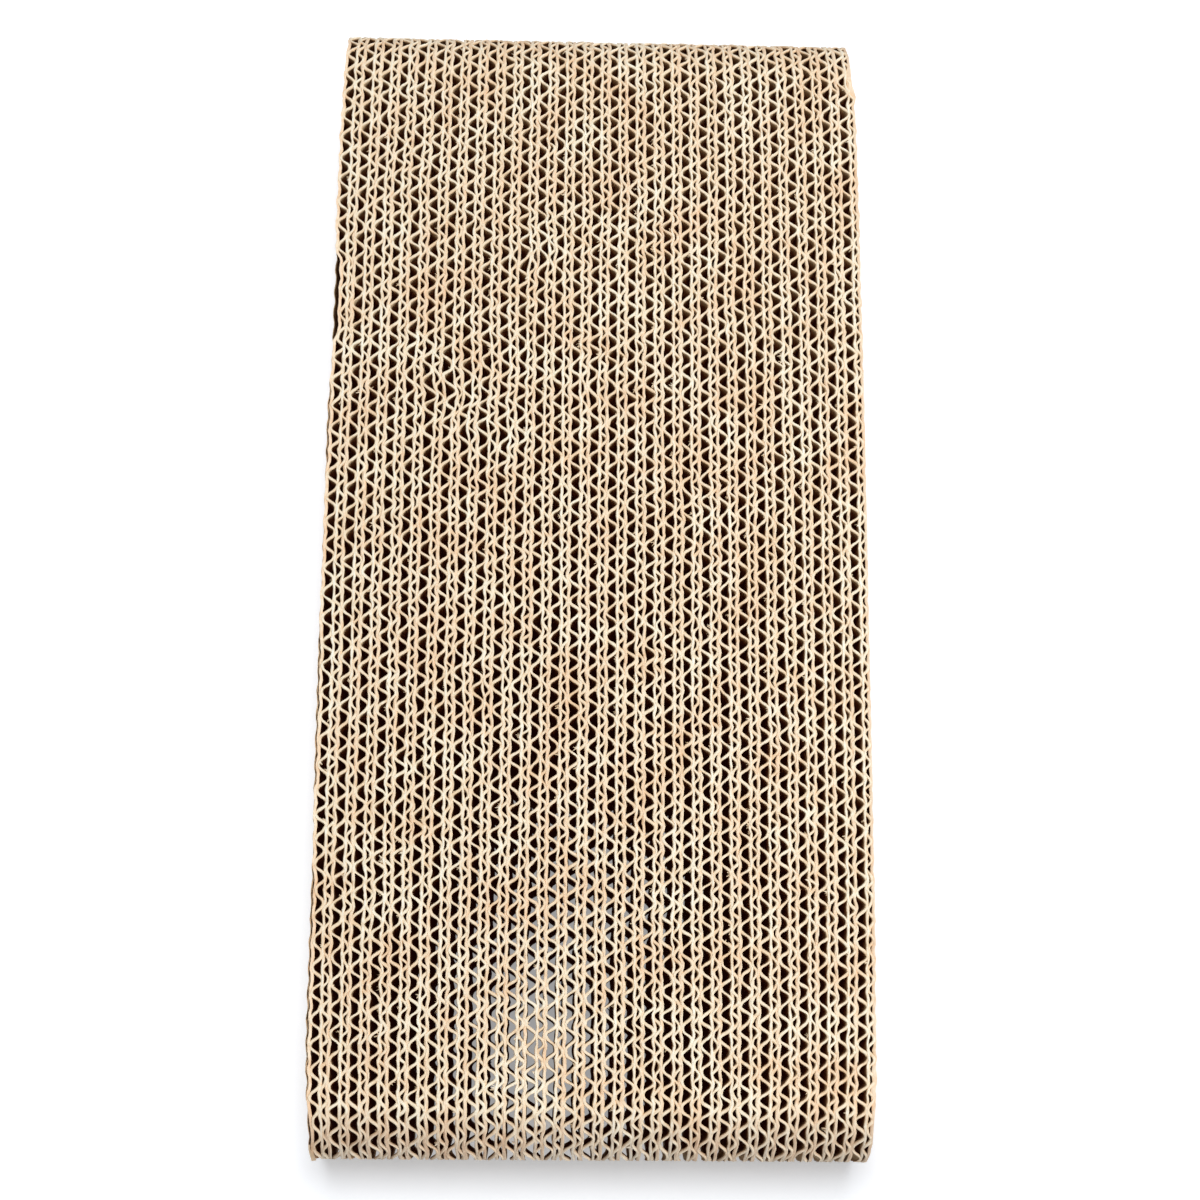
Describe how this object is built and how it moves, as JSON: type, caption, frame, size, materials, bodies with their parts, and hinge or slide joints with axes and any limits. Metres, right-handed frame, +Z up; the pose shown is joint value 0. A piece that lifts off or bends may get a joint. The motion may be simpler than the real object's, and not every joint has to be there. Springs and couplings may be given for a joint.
{
  "type": "cardboard cat scratcher",
  "caption": "Flat cat scratching pad of double-wall corrugated board strips glued face to face, flutes upright, with rounded ends.",
  "frame": {"origin": "centre of the pad's underside, on the surface that it lies on", "axes": "+X across the strips, to the right in the picture; +Y along the pad, away from the picture's viewer; +Z up, along the flutes"},
  "size_m": [0.1798, 0.384, 0.042],
  "materials": {
    "board": "matte kraft paper",
    "glue": "dried glue"
  },
  "bodies": {
    "root": {"strip_01": "board", "strip_02": "board", "strip_03": "board", "strip_04": "board", "strip_05": "board", "strip_06": "board", "strip_07": "board", "strip_08": "board", "strip_09": "board", "strip_10": "board", "strip_11": "board", "strip_12": "board", "strip_13": "board", "strip_14": "board", "strip_15": "board", "strip_16": "board", "strip_17": "board", "strip_18": "board", "strip_19": "board", "strip_20": "board", "strip_21": "board", "strip_22": "board", "strip_23": "board", "strip_24": "board", "strip_25": "board", "strip_26": "board", "strip_27": "board", "strip_28": "board", "strip_29": "board", "glue_01": "glue", "glue_02": "glue", "glue_03": "glue", "glue_04": "glue", "glue_05": "glue", "glue_06": "glue", "glue_07": "glue", "glue_08": "glue", "glue_09": "glue", "glue_10": "glue", "glue_11": "glue", "glue_12": "glue", "glue_13": "glue", "glue_14": "glue", "glue_15": "glue", "glue_16": "glue", "glue_17": "glue", "glue_18": "glue", "glue_19": "glue", "glue_20": "glue", "glue_21": "glue", "glue_22": "glue", "glue_23": "glue", "glue_24": "glue", "glue_25": "glue", "glue_26": "glue", "glue_27": "glue", "glue_28": "glue"}
  },
  "joints": []
}
